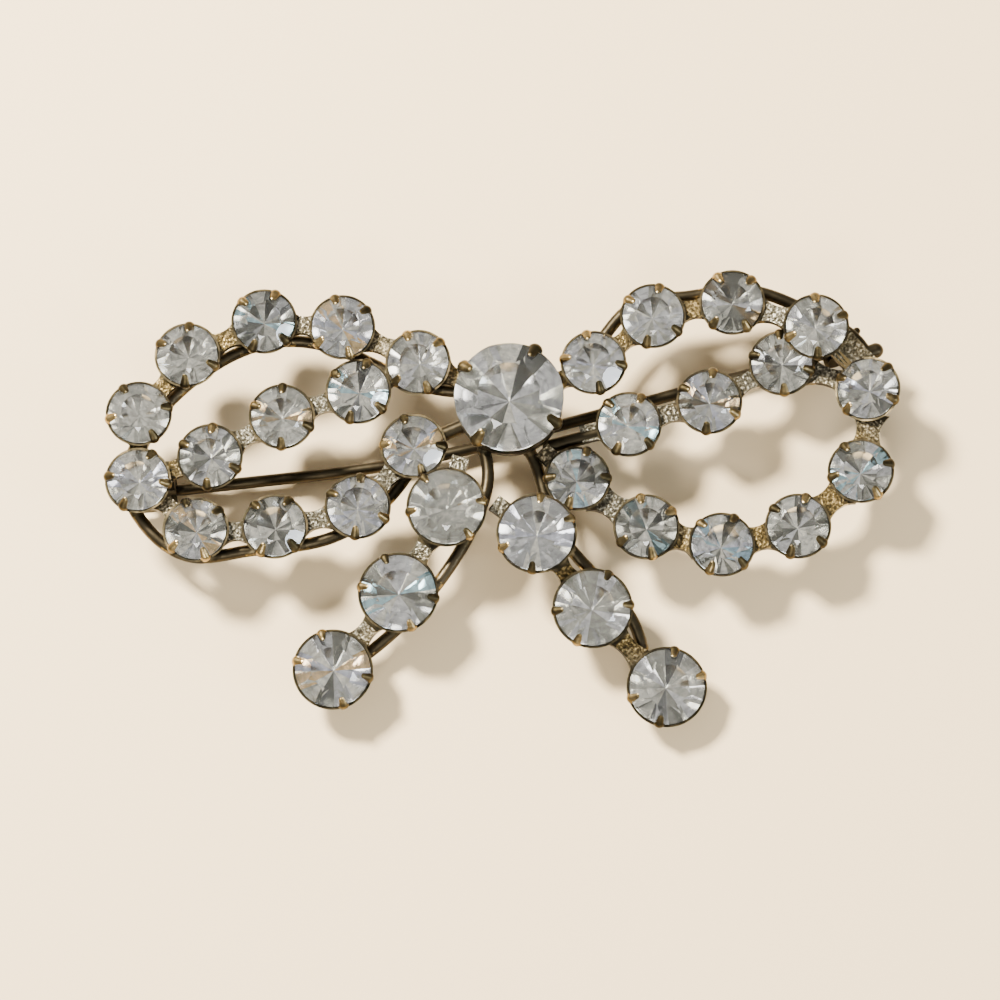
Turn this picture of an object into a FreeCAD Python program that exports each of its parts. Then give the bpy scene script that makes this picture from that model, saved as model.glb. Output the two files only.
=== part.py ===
import FreeCAD, Part
import math
import os

# Bow brooch: round cut stones in claw cups, joined by link bars and soldered on wire,
# with a pin that turns on a rivet and lies in a rolled catch behind the bow.
# All sizes are millimetres and degrees. The bow is drawn in its own plane, with the
# centre stone over the origin, the face towards +Z and the backs of the cups near zero.
# At the end everything is turned to the way that the brooch rests on its back.

# Stones: shares are of the stone's diameter
STONE_SMALL = 3.5
STONE_TAIL = 4.3
STONE_CENTRE = 6.3
FACETS = 8
PAVILION_FACETS = 12
STAR_SHARE = 0.62
TABLE_SHARE = 0.56
CROWN_SHARE = 0.17
GIRDLE_SHARE = 0.035
PAVILION_SHARE = 0.42

# Cups
SEAT_GAP = 0.05
CULET_FLOOR = 0.2
RIM_WIDTH = 0.16
BASE_SHARE = 0.52
BASKET_RADIUS = 3.1
BASKET_RIM = 1.7
BASKET_BAND = 0.7
BASKET_WALL = 0.4

# Claws: the radii of the post's foot, of the shoulder by the stone's edge and of the tip,
# and how far the tip's middle lies inside the stone's edge
CLAW = {"foot": 0.26, "shoulder": 0.36, "tip": 0.25, "reach": 0.44}
CENTRE_CLAW = {"foot": 0.34, "shoulder": 0.46, "tip": 0.34, "reach": 0.55}
CLAW_SHOULDER_OUT = -0.1
CLAW_SHOULDER_DROP = 0.05
CLAW_TIP_SINK = 0.06
CLAW_SPREAD = 35.0
TAIL_CLAW_SPREAD = 30.0
CENTRE_CLAW_ANGLES = (61.0, 146.0, 234.0, 330.0)

# Links and wires
LINK_WIDTH = 1.0
LINK_END_WIDTH = 1.9
LINK_THICK = 0.5
LINK_TOP = 1.35
PLATE_WIDTH = 1.35
PLATE_END_WIDTH = 2.15
FIRST_PLATE = 4
SIDE_PLATE_WIDTH = 1.8
SIDE_PLATE_SHIFT = (0.35, 0.3)
LINK_ROOT_SHARE = 0.8
BASKET_ROOT = 2.85
STUB_REACH = 1.0
WIRE_RADIUS = 0.36
BALL_SHARE = 1.12
ROD_RADIUS = 0.42
SOLDER_RADIUS = 0.55

# Pin, hinge and catch
PIN_RADIUS = 0.35
PIN_LEVEL = -2.0
PIN_HINGE = (18.9, 3.81)
PIN_BEND = (-5.6, -2.98)
PIN_END = (-22.6, -4.85)
PIN_BEND_RADIUS = 70.0
PIN_POINT_LENGTH = 3.6
PIN_POINT_RADIUS = 0.06
SWING_DROP = 60.0
EYE_RADIUS = 0.64
EYE_WIDTH = 0.7
RIVET_RADIUS = 0.27
RIVET_RUNNING_GAP = 0.04
RIVET_SEAT_GAP = 0.02
RIVET_HEAD_RADIUS = 0.44
RIVET_HEAD = 0.16
EAR_THICK = 0.27
EAR_GAP = 0.06
EAR_RADIUS = 0.65
EAR_RISE = 1.3
HINGE_BLOCK = (1.3, 1.2)
HINGE_BLOCK_TOP = 1.5
CATCH_INNER = 0.75
CATCH_WALL = 0.38
CATCH_LENGTH = 2.3
CATCH_SETBACK = 0.9
CATCH_MOUTH = 84.0
CATCH_FOOT_WIDTH = 1.0
CATCH_FOOT_TOP = 0.35

# How the whole brooch is turned to rest on its hinge, its catch and its right tail
REST_TURN_X = 4.245
REST_TURN_Y = 1.203

# Where each stone stands. x and y are the middle of the cup's back and level is its
# height. lean_x and lean_y are how far the face leans towards +X and +Y. turn points
# between one pair of claws, and the other pair is opposite.
COLUMNS = ("x", "y", "level", "lean_x", "lean_y", "turn")
CENTRE = (0.0, 0.0, 0.1, -1, -2, 0)
LEFT_LOOP = (
    (-5.1, 2.4, 0.1, -7, -5, 76),
    (-9.7, 4.4, 0.1, 0, -2, 70),
    (-14.3, 4.8, 0.0, 2, -3, 103),
    (-18.6, 2.7, 0.0, -2, 0, 122),
    (-21.5, -0.8, 0.0, 3, 1, 157),
    (-21.3, -4.7, 0.1, -3, -1, 27),
    (-18.0, -7.7, 0.0, -1, 3, 75),
    (-13.5, -7.5, -0.1, 0, 3, 98),
    (-8.8, -6.3, -0.1, 2, 2, 120),
    (-5.5, -2.7, -0.1, -2, 1, 143),
)
LEFT_INNER = (
    (-8.7, 0.7, -0.3, -2, -3, 108),
    (-13.2, -0.8, -0.3, 1, -3, 124),
    (-17.2, -3.1, -0.3, -3, -5, 120),
)
RIGHT_LOOP = (
    (4.9, 2.2, 0.0, -2, 2, 138),
    (8.3, 5.1, 0.0, 0, -2, 112),
    (13.0, 6.0, 0.0, -3, -5, 84),
    (17.7, 4.3, 0.8, 0, -3, 57),
    (21.1, 0.7, 0.0, -14, 0, 10),
    (20.3, -4.2, -0.1, -3, 2, 158),
    (16.6, -7.4, 0.0, -2, 0, 109),
    (12.1, -8.6, 0.0, 2, 4, 100),
    (7.9, -7.4, -0.1, -2, -1, 66),
    (3.8, -4.7, 0.0, 3, 3, 36),
)
RIGHT_INNER = (
    (6.8, -1.3, -0.2, 2, -2, 100),
    (11.6, 0.1, -0.3, -2, -3, 118),
    (15.9, 2.5, -0.6, -4, -4, 129),
)
LEFT_TAIL = (
    (-3.6, -6.3, 0.1, -1, -2, 158),
    (-6.4, -11.1, -0.6, 0, -4, 141),
    (-10.1, -15.4, -1.3, -1, -5, 137),
)
RIGHT_TAIL = (
    (1.6, -7.8, 0.0, -2, -3, 53),
    (4.7, -12.0, -0.6, 1, -4, 35),
    (8.9, -16.4, -1.4, 2, -5, 48),
)
CHAINS = (
    ("left", LEFT_LOOP, STONE_SMALL),
    ("left_inner", LEFT_INNER, STONE_SMALL),
    ("right", RIGHT_LOOP, STONE_SMALL),
    ("right_inner", RIGHT_INNER, STONE_SMALL),
    ("left_tail", LEFT_TAIL, STONE_TAIL),
    ("right_tail", RIGHT_TAIL, STONE_TAIL),
)

# Cut ends of chain that still stand on a cup: the cup's row, its stone and the direction
STUBS = (
    (RIGHT_INNER[0], STONE_SMALL, 192),
    (RIGHT_LOOP[9], STONE_SMALL, 136),
    (LEFT_TAIL[0], STONE_TAIL, 76),
    (RIGHT_TAIL[0], STONE_TAIL, 143),
)

# The middle lines of the wires behind the bow, in x, y and height
LEFT_WIRE = (
    (-2.6, 0.9, 0.3),
    (-5.6, 1.4, 0.3),
    (-9.7, 3.3, 0.3),
    (-13.9, 3.8, 0.3),
    (-17.8, 2.0, 0.3),
    (-20.8, -1.0, 0.3),
    (-22.2, -4.6, 0.3),
    (-21.2, -6.9, 0.3),
    (-18.4, -8.9, 0.3),
    (-15.3, -8.6, 0.3),
    (-10.6, -7.9, 0.3),
    (-7.4, -5.9, 0.3),
    (-5.6, -3.4, 0.3),
)
RIGHT_WIRE = (
    (2.4, 1.4, 0.3),
    (5.0, 3.5, 0.3),
    (7.4, 6.1, 0.3),
    (10.6, 6.6, 0.3),
    (13.0, 7.0, 0.3),
    (15.6, 6.5, 0.3),
    (18.3, 5.2, 0.3),
    (19.7, 4.4, 0.4),
    (20.7, 3.2, 0.5),
    (21.3, 1.9, 0.6),
)
LEFT_TAIL_WIRE = (
    (-1.5, -2.7, 0.6),
    (-1.3, -4.7, 0.6),
    (-1.9, -6.7, 0.6),
    (-3.2, -9.1, 0.3),
    (-4.6, -11.0, 0.0),
    (-6.7, -13.2, -0.4),
    (-8.6, -14.7, -0.7),
)
RIGHT_TAIL_WIRE = (
    (1.1, -2.7, 0.6),
    (1.7, -4.1, 0.6),
    (2.1, -5.6, 0.6),
    (3.1, -7.9, 0.5),
    (4.4, -9.5, 0.3),
    (5.8, -10.9, 0.1),
    (7.6, -14.1, -0.5),
)
CENTRE_RODS = (
    ((-5.2, -2.4, 0.9), (-2.4, -1.2, 0.9)),
    ((2.3, -2.5, 0.8), (6.0, -1.5, 0.8)),
)
SOLDER_SPOT = (2.7, -4.5, 0.8)

# Wire ends that show past the plate on the right, each with its radius
WIRE_ENDS = (
    (((20.0, 4.1, 0.4), (20.22, 4.5, 0.3)), 0.22),
    (((20.7, 3.05, 0.45), (21.3, 3.3, 0.4)), 0.45),
)

UP = FreeCAD.Vector(0, 0, 1)
ZERO = FreeCAD.Vector(0, 0, 0)


def vector(x, y, z):
    return FreeCAD.Vector(x, y, z)


def polar(angle, radius, z=0.0):
    turn = math.radians(angle)
    return vector(radius * math.cos(turn), radius * math.sin(turn), z)


def closed_face(points):
    return Part.Face(Part.makePolygon([*points, points[0]]))


def stone_levels(diameter):
    """Heights in a cup's own frame: culet, both edges of the girdle, and table."""
    culet = CULET_FLOOR
    girdle_low = culet + PAVILION_SHARE * diameter
    girdle_high = girdle_low + GIRDLE_SHARE * diameter
    return culet, girdle_low, girdle_high, girdle_high + CROWN_SHARE * diameter


def turned(profile):
    """The solid swept by a closed (radius, height) profile round the cup's axis."""
    return closed_face([vector(r, 0, z) for r, z in profile]).revolve(ZERO, UP, 360)


def pyramid(sides, low_flat, low, high_flat, high, offset=0.5):
    """A frustum with flat sides, sized across its flats at two heights."""
    corner = 1 / math.cos(math.pi / sides)
    step = 360 / sides
    foot = [polar((k + offset) * step, low_flat * corner, low) for k in range(sides)]
    head = [polar((k + offset) * step, high_flat * corner, high) for k in range(sides)]
    faces = [closed_face(foot), closed_face(head)]
    for k in range(sides):
        n = (k + 1) % sides
        faces.append(closed_face([foot[k], foot[n], head[n], head[k]]))
    return Part.makeSolid(Part.makeShell(faces))


def make_stone(diameter):
    """A round stone: a flat table, star facets round it, crown facets and pavilion facets."""
    culet, low, high, table = stone_levels(diameter)
    radius = diameter / 2
    table_radius = TABLE_SHARE * radius
    blank = Part.makeCylinder(radius, table - culet, vector(0, 0, culet))
    crown_run = (radius - table_radius) / (table - high)
    drop = table - culet
    crown = pyramid(FACETS, table_radius + crown_run * drop, culet, table_radius, table)
    star_run = crown_run / STAR_SHARE
    stars = pyramid(FACETS, table_radius + star_run * drop, culet, table_radius, table, 0)
    pavilion_run = radius * math.cos(math.pi / PAVILION_FACETS) / (low - culet)
    pavilion = pyramid(PAVILION_FACETS, 0.02, culet, 0.02 + pavilion_run * drop, table)
    return blank.common(crown).common(stars).common(pavilion)


def make_stone_room(diameter):
    """The space that the metal leaves free round a stone."""
    culet, low, high, table = stone_levels(diameter)
    radius = diameter / 2 + SEAT_GAP
    corner = 1 / math.cos(math.pi / FACETS)
    table_radius = TABLE_SHARE * diameter / 2 * corner + SEAT_GAP
    shoulder = high + (table - high) * (1 - 1 / corner) / (1 - TABLE_SHARE)
    above = table + 0.4
    profile = (
        (0, culet - SEAT_GAP),
        (radius, low - SEAT_GAP),
        (radius, shoulder + SEAT_GAP),
        (table_radius, table + SEAT_GAP),
        (table_radius, above),
        (0, above),
    )
    return turned(profile)


def rounded_rod(start, end, start_radius, end_radius):
    """A tapered rod between two points, with a ball's end at both."""
    run = end.sub(start)
    length = run.Length
    lean = math.asin((start_radius - end_radius) / length)
    low = vector(start_radius * math.cos(lean), 0, start_radius * math.sin(lean))
    high = vector(end_radius * math.cos(lean), 0, length + end_radius * math.sin(lean))
    low_mid = (lean - math.pi / 2) / 2
    high_mid = (lean + math.pi / 2) / 2
    low_arc = vector(start_radius * math.cos(low_mid), 0, start_radius * math.sin(low_mid))
    high_arc = vector(end_radius * math.cos(high_mid), 0, length + end_radius * math.sin(high_mid))
    foot = vector(0, 0, -start_radius)
    head = vector(0, 0, length + end_radius)
    edges = [
        Part.Arc(foot, low_arc, low).toShape(),
        Part.makeLine(low, high),
        Part.Arc(high, high_arc, head).toShape(),
        Part.makeLine(head, foot),
    ]
    rod = Part.Face(Part.Wire(edges)).revolve(ZERO, UP, 360)
    rod.Placement = FreeCAD.Placement(start, FreeCAD.Rotation(UP, run))
    return rod


def make_claw(diameter, angle, root, claw):
    """A round claw that rises up the cup's wall and folds over the stone's edge."""
    _, low, high, table = stone_levels(diameter)
    radius = diameter / 2
    slope = (table - high) / (radius * (1 - TABLE_SHARE))
    foot = vector(root, 0, 0.45 * low)
    shoulder = vector(radius + CLAW_SHOULDER_OUT, 0, high - CLAW_SHOULDER_DROP)
    tip = vector(radius - claw["reach"], 0, high + slope * claw["reach"] - CLAW_TIP_SINK)
    post = rounded_rod(foot, shoulder, claw["foot"], claw["shoulder"] - 0.03)
    fold = rounded_rod(shoulder, tip, claw["shoulder"], claw["tip"])
    both = post.fuse(fold)
    both.rotate(ZERO, UP, angle)
    return both


def make_cup(diameter, spread):
    """A cup that narrows to its back, with two opposite pairs of claws."""
    _, low, high, _ = stone_levels(diameter)
    rim_radius = diameter / 2 + RIM_WIDTH
    rim = 0.5 * (low + high)
    base = BASE_SHARE * rim_radius
    body = turned(((0, 0), (base, 0), (rim_radius, rim), (0, rim)))
    angles = (-spread, spread, 180 - spread, 180 + spread)
    root = base + (rim_radius - base) * 0.45 * low / rim - 0.06
    claws = [make_claw(diameter, a, root, CLAW) for a in angles]
    return body.fuse(claws)


def make_basket():
    """The centre stone's open basket: a thin bowl with a banded rim and four claws."""
    base = BASE_SHARE * BASKET_RADIUS
    inner = BASKET_RADIUS - BASKET_WALL
    band_foot = BASKET_RIM - BASKET_BAND
    profile = (
        (0, 0),
        (base, 0),
        (BASKET_RADIUS, band_foot),
        (BASKET_RADIUS, BASKET_RIM),
        (inner, BASKET_RIM),
        (inner, band_foot + 0.2),
        (base - 0.3, 0.3),
        (0, 0.15),
    )
    bowl = turned(profile)
    root = BASKET_RADIUS - 0.3
    claws = [make_claw(STONE_CENTRE, a, root, CENTRE_CLAW) for a in CENTRE_CLAW_ANGLES]
    return bowl.fuse(claws)


def place_at(row):
    """Where a cup's own frame stands in the bow: turned, leaned, then moved."""
    place = dict(zip(COLUMNS, row))
    spin = FreeCAD.Rotation(UP, place["turn"])
    lean_x = FreeCAD.Rotation(vector(0, 1, 0), place["lean_x"])
    lean_y = FreeCAD.Rotation(vector(1, 0, 0), -place["lean_y"])
    where = vector(place["x"], place["y"], place["level"])
    return FreeCAD.Placement(where, lean_x.multiply(lean_y).multiply(spin))


def placed(shape, placement):
    copy = shape.copy()
    copy.Placement = placement.multiply(copy.Placement)
    return copy


def flat_bar(start, end, middle_width, end_width):
    """A flat bar with waisted sides, whose upper face runs from one point to another."""
    run = end.sub(start)
    length = run.Length
    half = end_width / 2
    if end_width > middle_width:
        sides = [
            Part.Arc(
                vector(0, half * side, 0),
                vector(length / 2, middle_width / 2 * side, 0),
                vector(length, half * side, 0),
            ).toShape()
            for side in (1, -1)
        ]
        ends = [Part.makeLine(vector(x, half, 0), vector(x, -half, 0)) for x in (0, length)]
        outline = Part.Wire(Part.__sortEdges__(sides + ends))
        bar = Part.Face(outline).extrude(vector(0, 0, -LINK_THICK))
    else:
        bar = Part.makeBox(length, end_width, LINK_THICK, vector(0, -half, -LINK_THICK))
    turn = math.degrees(math.atan2(run.y, run.x))
    rise = math.degrees(math.atan2(run.z, math.hypot(run.x, run.y)))
    lift = FreeCAD.Rotation(vector(0, 1, 0), -rise)
    bar.Placement = FreeCAD.Placement(start, FreeCAD.Rotation(UP, turn).multiply(lift))
    return bar


def cup_root(diameter):
    """How far from a cup's middle a link starts, inside the cup's wall."""
    return LINK_ROOT_SHARE * diameter / 2


def make_link(row_a, row_b, root_a, root_b, widths=(LINK_WIDTH, LINK_END_WIDTH), shift=(0, 0)):
    """The link from the wall of one cup to the wall of the next."""
    a = vector(row_a[0] + shift[0], row_a[1] + shift[1], row_a[2] + LINK_TOP)
    b = vector(row_b[0] + shift[0], row_b[1] + shift[1], row_b[2] + LINK_TOP)
    step = b.sub(a).multiply(1 / math.hypot(b.x - a.x, b.y - a.y))
    return flat_bar(a.add(step * root_a), b.sub(step * root_b), *widths)


def make_stub(row, diameter, direction):
    """A cut end of chain that stands out from a cup."""
    middle = vector(row[0], row[1], row[2] + LINK_TOP)
    out = polar(direction, 1)
    start = middle.add(out * cup_root(diameter))
    end = middle.add(out * (diameter / 2 + STUB_REACH))
    return flat_bar(start, end, LINK_WIDTH, LINK_WIDTH)


def wire_through(points, radius):
    """A round wire bent smoothly through its points, with a ball at each end."""
    spots = [vector(*p) for p in points]
    curve = Part.BSplineCurve()
    curve.interpolate(spots)
    first = curve.FirstParameter
    section = Part.Wire(Part.makeCircle(radius, spots[0], curve.tangent(first)[0]))
    tube = Part.Wire(curve.toShape()).makePipeShell([section], True, False)
    balls = [Part.makeSphere(BALL_SHARE * radius, p) for p in (spots[0], spots[-1])]
    return [tube, *balls]


def make_links():
    links = []
    for name, rows, diameter in CHAINS:
        root = cup_root(diameter)
        for i, (a, b) in enumerate(zip(rows, rows[1:])):
            if name == "right" and i >= FIRST_PLATE:
                link = make_link(a, b, root, root, (PLATE_WIDTH, PLATE_END_WIDTH))
            elif name == "right" and i == FIRST_PLATE - 1:
                widths = (SIDE_PLATE_WIDTH, SIDE_PLATE_WIDTH)
                link = make_link(a, b, root, root, widths, SIDE_PLATE_SHIFT)
            else:
                link = make_link(a, b, root, root)
            links.append(link)
    small = cup_root(STONE_SMALL)
    links.append(make_link(LEFT_LOOP[0], CENTRE, small, BASKET_ROOT))
    links.append(make_link(RIGHT_LOOP[0], CENTRE, small, BASKET_ROOT))
    links.append(make_link(LEFT_INNER[0], LEFT_LOOP[0], small, small))
    links.append(make_link(LEFT_INNER[2], LEFT_LOOP[5], small, small))
    links.append(make_link(RIGHT_INNER[2], RIGHT_LOOP[4], small, small))
    links.extend(make_stub(*stub) for stub in STUBS)
    return links


def make_wires():
    wires = []
    for wire in (LEFT_WIRE, RIGHT_WIRE, LEFT_TAIL_WIRE, RIGHT_TAIL_WIRE):
        wires.extend(wire_through(wire, WIRE_RADIUS))
    for start, end in CENTRE_RODS:
        wires.append(rounded_rod(vector(*start), vector(*end), ROD_RADIUS, ROD_RADIUS))
    for (start, end), radius in WIRE_ENDS:
        wires.append(rounded_rod(vector(*start), vector(*end), radius, radius))
    wires.append(Part.makeSphere(SOLDER_RADIUS, vector(*SOLDER_SPOT)))
    return wires


def pin_points():
    """The pin's hinge, bend and end as points, at the pin's level."""
    return [vector(*p, PIN_LEVEL) for p in (PIN_HINGE, PIN_BEND, PIN_END)]


def hinge_frame():
    """The hinge's place: X along the pin, Y the turning axis, Z away from the swing."""
    hinge, bend, _ = pin_points()
    along = bend.sub(hinge).normalize()
    side = UP.cross(along)
    drop = math.radians(SWING_DROP)
    swing = side * math.cos(drop) - UP * math.sin(drop)
    axis = along.cross(swing)
    return FreeCAD.Placement(hinge, FreeCAD.Rotation(along, axis, swing * -1, "XYZ"))


def cross_cylinder(radius, low, high):
    """A cylinder along Y between two places on that axis."""
    return Part.makeCylinder(radius, high - low, vector(0, low, 0), vector(0, 1, 0))


def make_ears():
    """Two drilled ears and the block that carries them from the bow."""
    inner = EYE_WIDTH / 2 + EAR_GAP
    outer = inner + EAR_THICK
    hole = cross_cylinder(RIVET_RADIUS + RIVET_SEAT_GAP, -outer - 1, outer + 1)
    shapes = []
    for low, high in ((-outer, -inner), (inner, outer)):
        disc = cross_cylinder(EAR_RADIUS, low, high)
        foot = Part.makeBox(2 * EAR_RADIUS, high - low, EAR_RISE, vector(-EAR_RADIUS, low, 0))
        shapes.append(disc.fuse(foot).cut(hole))
    frame = hinge_frame()
    ears = [placed(s, frame) for s in shapes]
    top = frame.multVec(vector(0, 0, EAR_RISE))
    along = frame.Rotation.multVec(vector(1, 0, 0))
    turn = FreeCAD.Rotation(UP, math.degrees(math.atan2(along.y, along.x)))
    length, width = HINGE_BLOCK
    low = top.z - 0.3
    block = Part.makeBox(length, width, HINGE_BLOCK_TOP - low, vector(-length / 2, -width / 2, 0))
    block.Placement = FreeCAD.Placement(vector(top.x, top.y, low), turn)
    return [*ears, block]


def make_rivet():
    half = EYE_WIDTH / 2 + EAR_GAP + EAR_THICK + RIVET_SEAT_GAP
    shaft = cross_cylinder(RIVET_RADIUS, -half, half)
    heads = [
        cross_cylinder(RIVET_HEAD_RADIUS, half, half + RIVET_HEAD),
        cross_cylinder(RIVET_HEAD_RADIUS, -half - RIVET_HEAD, -half),
    ]
    return placed(shaft.fuse(heads), hinge_frame())


def make_catch():
    """A rolled hook that is open to the way that the pin swings, on its foot."""
    _, bend, end = pin_points()
    along = end.sub(bend).normalize()
    swing = hinge_frame().Rotation.multVec(vector(0, 0, -1))
    low = end.sub(along * (CATCH_SETBACK + CATCH_LENGTH))
    near = CATCH_INNER
    far = CATCH_INNER + CATCH_WALL
    profile = [vector(0, 0, near), vector(0, 0, far)]
    profile += [vector(CATCH_LENGTH, 0, far), vector(CATCH_LENGTH, 0, near)]
    hook = closed_face(profile).revolve(ZERO, vector(1, 0, 0), 360 - CATCH_MOUTH)
    lip = FreeCAD.Rotation(vector(1, 0, 0), CATCH_MOUTH / 2)
    side = swing.cross(along)
    frame = FreeCAD.Rotation(along, side, swing, "XZY")
    hook.Placement = FreeCAD.Placement(low, frame.multiply(lip))
    turn = FreeCAD.Rotation(UP, math.degrees(math.atan2(along.y, along.x)))
    bottom = PIN_LEVEL + CATCH_INNER + 0.4 * CATCH_WALL
    half = CATCH_FOOT_WIDTH / 2
    foot = Part.makeBox(CATCH_LENGTH, 2 * half, CATCH_FOOT_TOP - bottom, vector(0, -half, 0))
    foot.Placement = FreeCAD.Placement(vector(low.x, low.y, bottom), turn)
    return [hook, foot]


def make_pin():
    """The pin: a drilled eye, a slightly bowed stem and a point."""
    hinge, bend, end = pin_points()
    first = bend.sub(hinge).normalize()
    second = end.sub(bend).normalize()
    bow = first.getAngle(second)
    reach = PIN_BEND_RADIUS * math.tan(bow / 2)
    bow_start = bend.sub(first * reach)
    bow_end = bend.add(second * reach)
    point_start = end.sub(second * PIN_POINT_LENGTH)
    stem_start = hinge.add(first * (EYE_RADIUS - 0.25))
    turn_sign = 1 if first.cross(second).z > 0 else -1
    centre = bow_start.add(UP.cross(first) * (turn_sign * PIN_BEND_RADIUS))
    middle = bow_start.add(bow_end).multiply(0.5).sub(centre).normalize()
    run = [
        Part.makeLine(stem_start, bow_start),
        Part.Arc(bow_start, centre.add(middle * PIN_BEND_RADIUS), bow_end).toShape(),
        Part.makeLine(bow_end, point_start),
    ]
    section = Part.Wire(Part.makeCircle(PIN_RADIUS, stem_start, first))
    stem = Part.Wire(run).makePipeShell([section], True, False)
    point = Part.makeCone(PIN_RADIUS, PIN_POINT_RADIUS, PIN_POINT_LENGTH, point_start, second)
    eye = placed(cross_cylinder(EYE_RADIUS, -EYE_WIDTH / 2, EYE_WIDTH / 2), hinge_frame())
    bore = cross_cylinder(RIVET_RADIUS + RIVET_RUNNING_GAP, -EYE_WIDTH, EYE_WIDTH)
    return eye.fuse([stem, point]).cut(placed(bore, hinge_frame()))


def make_stones():
    """Every stone in its place, by its node's name."""
    stones = {"stone_centre": placed(make_stone(STONE_CENTRE), place_at(CENTRE))}
    for name, rows, diameter in CHAINS:
        stone = make_stone(diameter)
        for i, row in enumerate(rows, 1):
            stones[f"stone_{name}_{i}"] = placed(stone, place_at(row))
    return stones


def make_bow_frame():
    """All the soldered metal as one solid."""
    cups = [placed(make_basket(), place_at(CENTRE))]
    rooms = [placed(make_stone_room(STONE_CENTRE), place_at(CENTRE))]
    for _, rows, diameter in CHAINS:
        spread = TAIL_CLAW_SPREAD if diameter == STONE_TAIL else CLAW_SPREAD
        cup = make_cup(diameter, spread)
        room = make_stone_room(diameter)
        cups += [placed(cup, place_at(row)) for row in rows]
        rooms += [placed(room, place_at(row)) for row in rows]
    others = [*make_links(), *make_wires(), *make_ears(), *make_catch()]
    frame = cups[0].multiFuse(cups[1:] + others)
    return frame.cut(rooms).Solids[0]


def rest(shapes):
    """Lean the brooch to its resting way, with its lowest point on the ground."""
    turn_x = FreeCAD.Rotation(vector(1, 0, 0), REST_TURN_X)
    turn_y = FreeCAD.Rotation(vector(0, 1, 0), REST_TURN_Y)
    lean = FreeCAD.Placement(ZERO, turn_y.multiply(turn_x))
    leaned = {name: placed(shape, lean) for name, shape in shapes.items()}
    box = Part.makeCompound(list(leaned.values())).optimalBoundingBox(False)
    shift = vector(-(box.XMin + box.XMax) / 2, -(box.YMin + box.YMax) / 2, -box.ZMin)
    return {name: placed(s, FreeCAD.Placement(shift, FreeCAD.Rotation())) for name, s in leaned.items()}


def main():
    shapes = {"bow_frame": make_bow_frame(), **make_stones()}
    shapes["hinge_rivet"] = make_rivet()
    shapes["pin_stem"] = make_pin()
    os.makedirs("parts", exist_ok=True)
    for name, shape in rest(shapes).items():
        print(name, shape.ShapeType, len(shape.Solids), round(shape.Volume, 3), shape.isValid())
        shape.exportStep(f"parts/{name}.step")


if __name__ == "__main__":
    main()
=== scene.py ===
import math
import random

import bpy
import numpy as np
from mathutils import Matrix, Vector

# The finish of a bow brooch: foil-backed cut stones, tarnished claws and cups, frosted
# link bars and a brown pin wire, on a plain pale floor. Lengths are in metres.

MM = 0.001

# The bow leans this way where it rests, and the view leans further towards the tails
REST_TURN_X = 4.245
REST_TURN_Y = 1.203
VIEW_TILT = 12.0
VIEW_DISTANCE = 250 * MM
VIEW_LENS = 156.6
SENSOR = 36.0
NEAREST_SEEN = 10 * MM
AIM = Vector((-0.155, -0.305, 4.275)) * MM

FLOOR_SIZE = 1.2
FLOOR_COLOUR = (0.80, 0.62, 0.37, 1)
FLOOR_ROUGHNESS = 0.6
FLOOR_GLOSS = 0.3

# The studio round the brooch: dark and light patches that the stones mirror
STUDIO_SCALE = 3.6
STUDIO_DETAIL = 1.5
STUDIO_STRENGTH = 0.8
STUDIO_STOPS = ((0.36, (0.06, 0.06, 0.055)), (0.44, (0.52, 0.51, 0.48)), (0.53, (1.0, 0.98, 0.94)))

# Lamps that face the origin; size is width and height, and energy is in watts
LAMP_COLUMNS = ("name", "place", "size", "energy", "colour")
LAMPS = (
    ("key", (-0.16, 0.14, 0.26), (0.06, 0.06), 6.0, (1.0, 0.94, 0.84)),
    ("low", (-0.06, -0.30, 0.34), (0.20, 0.10), 1.6, (1.0, 0.97, 0.92)),
    ("side", (0.25, -0.12, 0.16), (0.05, 0.15), 0.6, (0.85, 0.92, 1.0)),
)

# Heights and distances that tell one part of the metal from another, in a stone's own
# frame, from the middle of its girdle
CLAW_LOW = 0.08 * MM
CLAW_OUT = 0.19 * MM
CLAW_FAR = 0.45 * MM
CLAW_ROOT = -1.3 * MM
CUP_OUT = 0.175 * MM

# A face of the metal belongs to the stone that it is nearest to, where a distance along the
# stone's axis counts only this much
HEIGHT_WEIGHT = 0.3

# A link's upper face is one flat area of at least this size, and faces up
TOP_AREA = 0.35 * MM * MM
UPWARD = 0.8

# A stone's table is its largest facet whose direction rises at least this much. Its rim is
# what lies nearly as far out as the farthest point. A facet belongs to the back where its
# direction and the stone's axis have a cosine under the last of these.
TABLE_UP = 0.9
RIM_SHARE = 0.97
BACK_FACING = -0.3

# Glass: lead crystal with a faint warmth
GLASS_COLOUR = (1.0, 0.995, 0.97, 1)
GLASS_IOR = 1.58

# Foil: crazed cells a metre, how strongly and how deeply they tilt, patches a metre, where
# a patch turns from dull to full colour, and the share of the colour that a dull one keeps
FOIL_CELLS = 800
FOIL_CRAZE = 0.16
FOIL_DEPTH = 0.12 * MM
FOIL_PATCHES = 1800
FOIL_DULL_AT = 0.35
FOIL_FULL_AT = 0.6
FOIL_DULLING = 0.72

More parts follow.
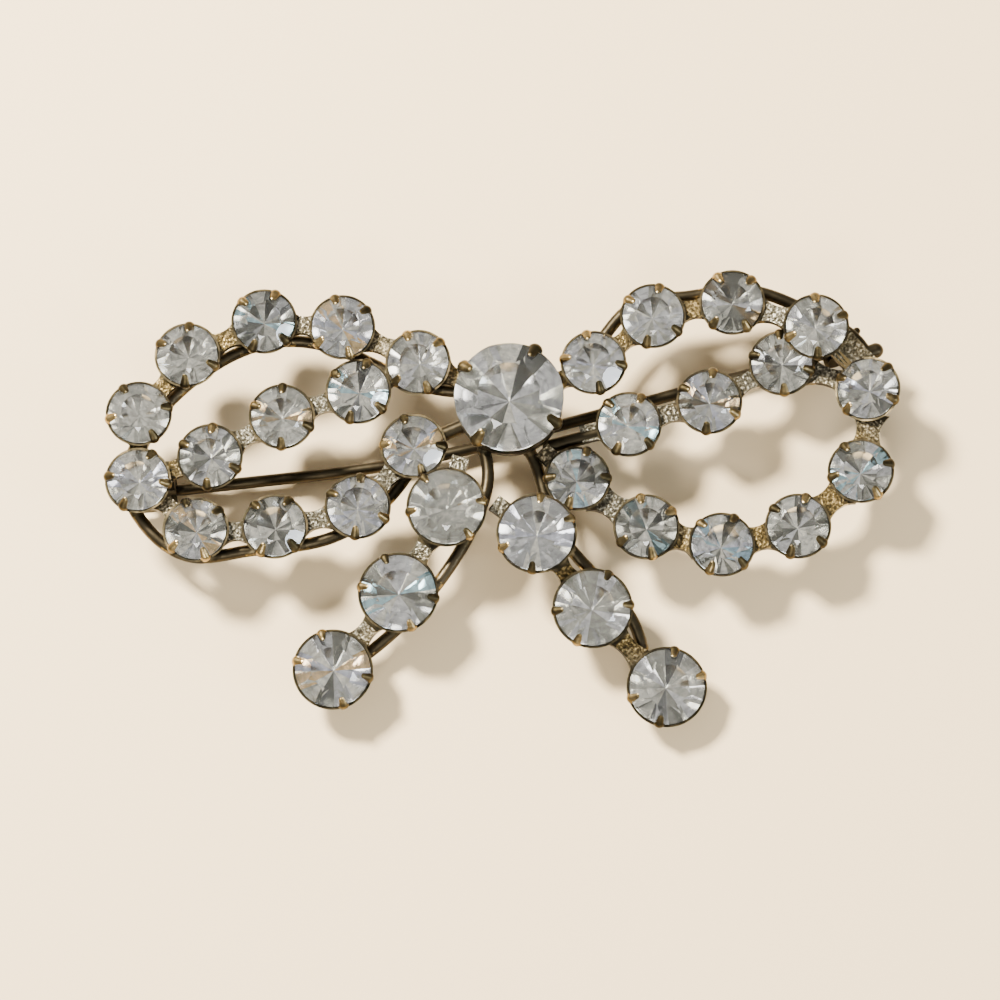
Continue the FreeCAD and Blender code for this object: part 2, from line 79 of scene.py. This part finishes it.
# Each back facet takes a tint, dealt by weight: silver is the foil's own colour, and the grey, lilac and
# dark tints are painted reflections that make some facets cooler or darker. In some stones one facet,
# the fifth that is met, takes a painted coloured flash instead.
FOIL_COLUMNS = ("name", "colour", "roughness")
FOILS_AND_PAINTED_REFLECTIONS = (
    # Silver is the foil's own colour; the grey, lilac and dark rows are painted reflections on single
    # facets
    ("foil_silver", (0.98, 0.97, 0.92), 0.12),
    ("foil_grey", (0.66, 0.66, 0.62), 0.16),
    ("foil_lilac", (0.88, 0.89, 0.95), 0.12),
    ("foil_dark", (0.24, 0.24, 0.22), 0.20),
)
FOIL_WEIGHTS = (14, 6, 4, 2)
# Coloured tints for a single facet: painted coloured flashes
PAINTED_FLASH_TINTS = (
    ("foil_sky", (0.60, 0.87, 1.0), 0.06),
    ("foil_amber", (1.0, 0.74, 0.42), 0.06),
)
FLASH_CHANCE = 0.45
FLASH_FACET = 5

# Tarnished metals: colours from dark to worn bright, patches a metre, the roughness of worn
# and of dark places, and the grain's cells a metre and depth
METAL_COLUMNS = ("name", "stops", "patch_scale", "rough_low", "rough_high", "grain_scale", "depth")
CLAW_STOPS = ((0.38, (0.030, 0.024, 0.012)), (0.50, (0.095, 0.072, 0.034)), (0.64, (0.42, 0.30, 0.13)))
CUP_STOPS = ((0.38, (0.018, 0.015, 0.009)), (0.55, (0.050, 0.040, 0.022)), (0.7, (0.17, 0.13, 0.07)))
# The wire colour also goes on the links' side walls and bottoms, where its darkness is painted shade
WIRE_AND_WALL_SHADE_STOPS = ((0.35, (0.022, 0.018, 0.011)), (0.55, (0.050, 0.040, 0.024)), (0.75, (0.12, 0.095, 0.060)))
CLAW_METAL = ("claw_bronze", CLAW_STOPS, 420, 0.22, 0.42, 6000, 0.02 * MM)
CUP_METAL = ("cup_dark", CUP_STOPS, 900, 0.35, 0.6, 5000, 0.02 * MM)
WIRE_AND_WALL_SHADE_METAL = ("wire_brown", WIRE_AND_WALL_SHADE_STOPS, 260, 0.32, 0.48, 3000, 0.012 * MM)
GRAIN_STRENGTH = 0.6

# Frosted plating: grains a metre and their depth, larger places a metre that are silver or
# gold, and the colours of a silver and of a gold place's grains, from dark to bright
FROST_SCALE = 6500
FROST_DEPTH = 0.09 * MM
PLACE_SCALE = 95
SILVER_GRAINS = ((0.38, (0.030, 0.026, 0.017)), (0.54, (0.10, 0.090, 0.064)), (0.72, (0.52, 0.48, 0.38)))
GOLD_GRAINS = ((0.38, (0.030, 0.022, 0.009)), (0.54, (0.11, 0.077, 0.030)), (0.72, (0.52, 0.37, 0.15)))

# The order of the metals in the frame's material slots
CLAW, CUP, LINK, WIRE_AND_WALL_SHADE = range(4)

# The foils are dealt out the same way each run
SEED = 20

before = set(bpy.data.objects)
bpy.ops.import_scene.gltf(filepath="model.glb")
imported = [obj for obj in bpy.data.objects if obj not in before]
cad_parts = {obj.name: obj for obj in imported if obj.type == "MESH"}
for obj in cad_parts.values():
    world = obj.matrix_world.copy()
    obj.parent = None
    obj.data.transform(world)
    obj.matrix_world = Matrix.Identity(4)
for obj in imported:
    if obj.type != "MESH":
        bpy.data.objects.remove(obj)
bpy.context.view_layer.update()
rng = random.Random(SEED)


def node_tree(name):
    material = bpy.data.materials.new(name)
    material.use_nodes = True
    tree = material.node_tree
    shader = tree.nodes["Principled BSDF"]
    return material, tree, shader


def object_noise(tree, scale, detail=4.0, roughness=0.6):
    """Noise in the object's own space; scale is in cells a metre."""
    place = tree.nodes.new("ShaderNodeTexCoord")
    noise = tree.nodes.new("ShaderNodeTexNoise")
    noise.inputs["Scale"].default_value = scale
    noise.inputs["Detail"].default_value = detail
    noise.inputs["Roughness"].default_value = roughness
    tree.links.new(place.outputs["Object"], noise.inputs["Vector"])
    return noise.outputs["Fac"]


def ramp(tree, value, stops):
    """A colour ramp over a value, from (position, colour) stops."""
    node = tree.nodes.new("ShaderNodeValToRGB")
    while len(node.color_ramp.elements) < len(stops):
        node.color_ramp.elements.new(0.5)
    for element, (position, colour) in zip(node.color_ramp.elements, stops):
        element.position = position
        element.color = (*colour, 1)
    tree.links.new(value, node.inputs["Fac"])
    return node.outputs["Color"]


def span(tree, value, low, high, to_low, to_high):
    node = tree.nodes.new("ShaderNodeMapRange")
    node.inputs["From Min"].default_value = low
    node.inputs["From Max"].default_value = high
    node.inputs["To Min"].default_value = to_low
    node.inputs["To Max"].default_value = to_high
    tree.links.new(value, node.inputs["Value"])
    return node.outputs["Result"]


def bump(tree, shader, height, strength, distance):
    node = tree.nodes.new("ShaderNodeBump")
    node.inputs["Strength"].default_value = strength
    node.inputs["Distance"].default_value = distance
    tree.links.new(height, node.inputs["Height"])
    tree.links.new(node.outputs["Normal"], shader.inputs["Normal"])


def make_metal(row):
    """Tarnished metal: colour, gloss and grain all vary over the surface."""
    metal = dict(zip(METAL_COLUMNS, row))
    material, tree, shader = node_tree(metal["name"])
    shader.inputs["Metallic"].default_value = 1.0
    patches = object_noise(tree, metal["patch_scale"])
    tree.links.new(ramp(tree, patches, metal["stops"]), shader.inputs["Base Color"])
    gloss = span(tree, patches, 0.3, 0.7, metal["rough_high"], metal["rough_low"])
    tree.links.new(gloss, shader.inputs["Roughness"])
    grain = object_noise(tree, metal["grain_scale"], 3.0)
    bump(tree, shader, grain, GRAIN_STRENGTH, metal["depth"])
    return material


def make_glass():
    material, _, shader = node_tree("crystal_glass")
    shader.inputs["Base Color"].default_value = GLASS_COLOUR
    shader.inputs["Roughness"].default_value = 0.0
    shader.inputs["IOR"].default_value = GLASS_IOR
    shader.inputs["Transmission Weight"].default_value = 1.0
    return material


def make_foil(row):
    """Old foil, crazed into small pieces that each catch another light, in the row's colour: the foil's
    own silver for the silver row, and a painted facet reflection for the others.
    """
    foil = dict(zip(FOIL_COLUMNS, row))
    material, tree, shader = node_tree(foil["name"])
    shader.inputs["Metallic"].default_value = 1.0
    shader.inputs["Roughness"].default_value = foil["roughness"]
    dull = tuple(FOIL_DULLING * c for c in foil["colour"])
    patches = object_noise(tree, FOIL_PATCHES, 3.0)
    tints = ramp(tree, patches, ((FOIL_DULL_AT, dull), (FOIL_FULL_AT, foil["colour"])))
    tree.links.new(tints, shader.inputs["Base Color"])
    place = tree.nodes.new("ShaderNodeTexCoord")
    cells = tree.nodes.new("ShaderNodeTexVoronoi")
    cells.inputs["Scale"].default_value = FOIL_CELLS
    tree.links.new(place.outputs["Object"], cells.inputs["Vector"])
    bump(tree, shader, cells.outputs["Distance"], FOIL_CRAZE, FOIL_DEPTH)
    return material


def make_frosted(name):
    """Granular plated metal, silver in some places and gold in others."""
    material, tree, shader = node_tree(name)
    shader.inputs["Metallic"].default_value = 1.0
    grains = object_noise(tree, FROST_SCALE, 2.5)
    silver = ramp(tree, grains, SILVER_GRAINS)
    gold = ramp(tree, grains, GOLD_GRAINS)
    choice = span(tree, object_noise(tree, PLACE_SCALE, 2.0), 0.45, 0.6, 0.0, 1.0)
    mix = tree.nodes.new("ShaderNodeMix")
    mix.data_type = "RGBA"
    tree.links.new(choice, mix.inputs["Factor"])
    tree.links.new(silver, mix.inputs["A"])
    tree.links.new(gold, mix.inputs["B"])
    tree.links.new(mix.outputs["Result"], shader.inputs["Base Color"])
    tree.links.new(span(tree, grains, 0.4, 0.6, 0.6, 0.3), shader.inputs["Roughness"])
    bump(tree, shader, grains, 1.0, FROST_DEPTH)
    return material


def mesh_arrays(obj):
    """A mesh's points, and the middles, normals and areas of its faces."""
    mesh = obj.data
    points = np.zeros(len(mesh.vertices) * 3)
    mesh.vertices.foreach_get("co", points)
    centres = np.zeros(len(mesh.polygons) * 3)
    normals = np.zeros(len(mesh.polygons) * 3)
    areas = np.zeros(len(mesh.polygons))
    mesh.polygons.foreach_get("center", centres)
    mesh.polygons.foreach_get("normal", normals)
    mesh.polygons.foreach_get("area", areas)
    return points.reshape(-1, 3), centres.reshape(-1, 3), normals.reshape(-1, 3), areas


def stone_frame(obj):
    """The middle of a stone's girdle, its axis and its radius, from its mesh."""
    points, _, normals, areas = mesh_arrays(obj)
    facets = {}
    for normal, area in zip(normals, areas):
        facet = facets.setdefault(tuple(np.round(normal, 2)), [0.0, np.zeros(3)])
        facet[0] += area
        facet[1] += area * normal
    upper = (facet for facet in facets.values() if facet[1][2] > TABLE_UP * facet[0])
    _, table = max(upper, key=lambda facet: facet[0])
    axis = table / np.linalg.norm(table)
    middle = points.mean(axis=0)
    for _ in range(3):
        out = points - middle
        radial = out - np.outer(out @ axis, axis)
        distance = np.linalg.norm(radial, axis=1)
        rim = points[distance > RIM_SHARE * distance.max()]
        middle = (rim.min(axis=0) + rim.max(axis=0)) / 2
    out = points - middle
    radius = np.linalg.norm(out - np.outer(out @ axis, axis), axis=1).max()
    return middle, axis, radius


def dress_stone(obj, glass, foils_and_painted_tints):
    """Clear glass on a stone's face, and a tint on each back facet: silver foil, and painted facet
    reflections in the other tints.
    """
    middle, axis, radius = stone_frame(obj)
    _, _, normals, _ = mesh_arrays(obj)
    obj.data.materials.clear()
    for material in (glass, *foils_and_painted_tints):
        obj.data.materials.append(material)
    plain = len(FOILS_AND_PAINTED_REFLECTIONS)
    flash = rng.randrange(plain + 1, len(foils_and_painted_tints) + 1) if rng.random() < FLASH_CHANCE else 0
    tints = {}
    for polygon, normal in zip(obj.data.polygons, normals):
        if float(normal @ axis) > BACK_FACING:
            polygon.material_index = 0
            continue
        # Each facet direction keeps one tint, so the grey, lilac and dark tints paint whole facets as
        # lighter and darker reflections
        key = tuple(np.round(normal, 1))
        if key not in tints:
            tints[key] = 1 + rng.choices(range(plain), weights=FOIL_WEIGHTS)[0]
            # The fifth facet met takes a painted coloured flash in some stones
            if flash and len(tints) == FLASH_FACET:
                tints[key] = flash
        polygon.material_index = tints[key]
    return middle, axis, radius


def dress_metal(obj, stones, materials):
    """Sort the metal's faces into claws, cups, link tops and the rest; the rest, wires and the links'
    side walls and bottoms, take the dark wire colour, which on the link walls is painted shade.
    """
    _, centres, normals, areas = mesh_arrays(obj)
    obj.data.materials.clear()
    for material in materials:
        obj.data.materials.append(material)
    best = np.full(len(centres), np.inf)
    height = np.zeros(len(centres))
    reach = np.zeros(len(centres))
    for middle, axis, radius in stones:
        out = centres - middle
        h = out @ axis
        radial = np.linalg.norm(out - np.outer(h, axis), axis=1) - radius
        distance = np.maximum(radial, 0) + HEIGHT_WEIGHT * np.abs(h)
        nearer = distance < best
        best[nearer] = distance[nearer]
        height[nearer] = h[nearer]
        reach[nearer] = radial[nearer]
    claw = (height > CLAW_LOW) & (reach < CLAW_FAR)
    claw |= (reach > CLAW_OUT) & (reach < CLAW_FAR) & (height > CLAW_ROOT) & (normals[:, 2] < UPWARD)
    cup = ~claw & (reach < CUP_OUT)
    _, flat = np.unique(np.round(normals, 3), axis=0, return_inverse=True)
    flat_area = np.bincount(flat.ravel(), weights=areas)[flat.ravel()]
    top = ~claw & ~cup & (normals[:, 2] > UPWARD) & (flat_area > TOP_AREA)
    # Faces that are not claws, cups or link tops take the dark wire colour; on the links' side walls and
    # bottoms it is painted shade
    index = np.where(claw, CLAW, np.where(cup, CUP, np.where(top, LINK, WIRE_AND_WALL_SHADE)))
    obj.data.polygons.foreach_set("material_index", index.astype(np.int32))


def add_lamp(row):
    lamp = dict(zip(LAMP_COLUMNS, row))
    data = bpy.data.lights.new(lamp["name"], "AREA")
    data.shape = "RECTANGLE"
    data.size, data.size_y = lamp["size"]
    data.energy = lamp["energy"]
    data.color = lamp["colour"]
    obj = bpy.data.objects.new(lamp["name"], data)
    obj.location = lamp["place"]
    obj.rotation_euler = (-Vector(lamp["place"])).to_track_quat("-Z", "Y").to_euler()
    bpy.context.scene.collection.objects.link(obj)


def make_world():
    world = bpy.data.worlds.new("studio")
    bpy.context.scene.world = world
    world.use_nodes = True
    tree = world.node_tree
    background = tree.nodes["Background"]
    place = tree.nodes.new("ShaderNodeTexCoord")
    noise = tree.nodes.new("ShaderNodeTexNoise")
    noise.inputs["Scale"].default_value = STUDIO_SCALE
    noise.inputs["Detail"].default_value = STUDIO_DETAIL
    tree.links.new(place.outputs["Generated"], noise.inputs["Vector"])
    patches = ramp(tree, noise.outputs["Fac"], STUDIO_STOPS)
    tree.links.new(patches, background.inputs["Color"])
    background.inputs["Strength"].default_value = STUDIO_STRENGTH


def make_floor():
    bpy.ops.mesh.primitive_plane_add(size=FLOOR_SIZE, location=(0, 0, 0))
    floor = bpy.context.object
    floor.name = "floor"
    material, _, shader = node_tree("floor_card")
    shader.inputs["Base Color"].default_value = FLOOR_COLOUR
    shader.inputs["Roughness"].default_value = FLOOR_ROUGHNESS
    shader.inputs["Specular IOR Level"].default_value = FLOOR_GLOSS
    floor.data.materials.append(material)


def make_camera():
    camera = bpy.data.objects.new("camera", bpy.data.cameras.new("camera"))
    camera.data.lens = VIEW_LENS
    camera.data.sensor_width = SENSOR
    camera.data.clip_start = NEAREST_SEEN
    camera.rotation_euler = (math.radians(REST_TURN_X + VIEW_TILT), math.radians(REST_TURN_Y), 0)
    back = camera.rotation_euler.to_matrix() @ Vector((0, 0, 1))
    camera.location = AIM + back * VIEW_DISTANCE
    bpy.context.scene.collection.objects.link(camera)
    bpy.context.scene.camera = camera


make_camera()
make_floor()
make_world()
for lamp_row in LAMPS:
    add_lamp(lamp_row)

glass = make_glass()
foils_and_painted_tints = [make_foil(tint_row) for tint_row in (*FOILS_AND_PAINTED_REFLECTIONS, *PAINTED_FLASH_TINTS)]
stones = [
    dress_stone(node, glass, foils_and_painted_tints)
    for name, node in sorted(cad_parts.items())
    if name.startswith("stone_")
]

metals = [
    make_metal(CLAW_METAL),
    make_metal(CUP_METAL),
    make_frosted("link_frosted"),
    make_metal(WIRE_AND_WALL_SHADE_METAL),
]
dress_metal(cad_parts["bow_frame"], stones, metals)
for name in ("pin_stem", "hinge_rivet"):
    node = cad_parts[name]
    node.data.materials.clear()
    node.data.materials.append(metals[WIRE_AND_WALL_SHADE])
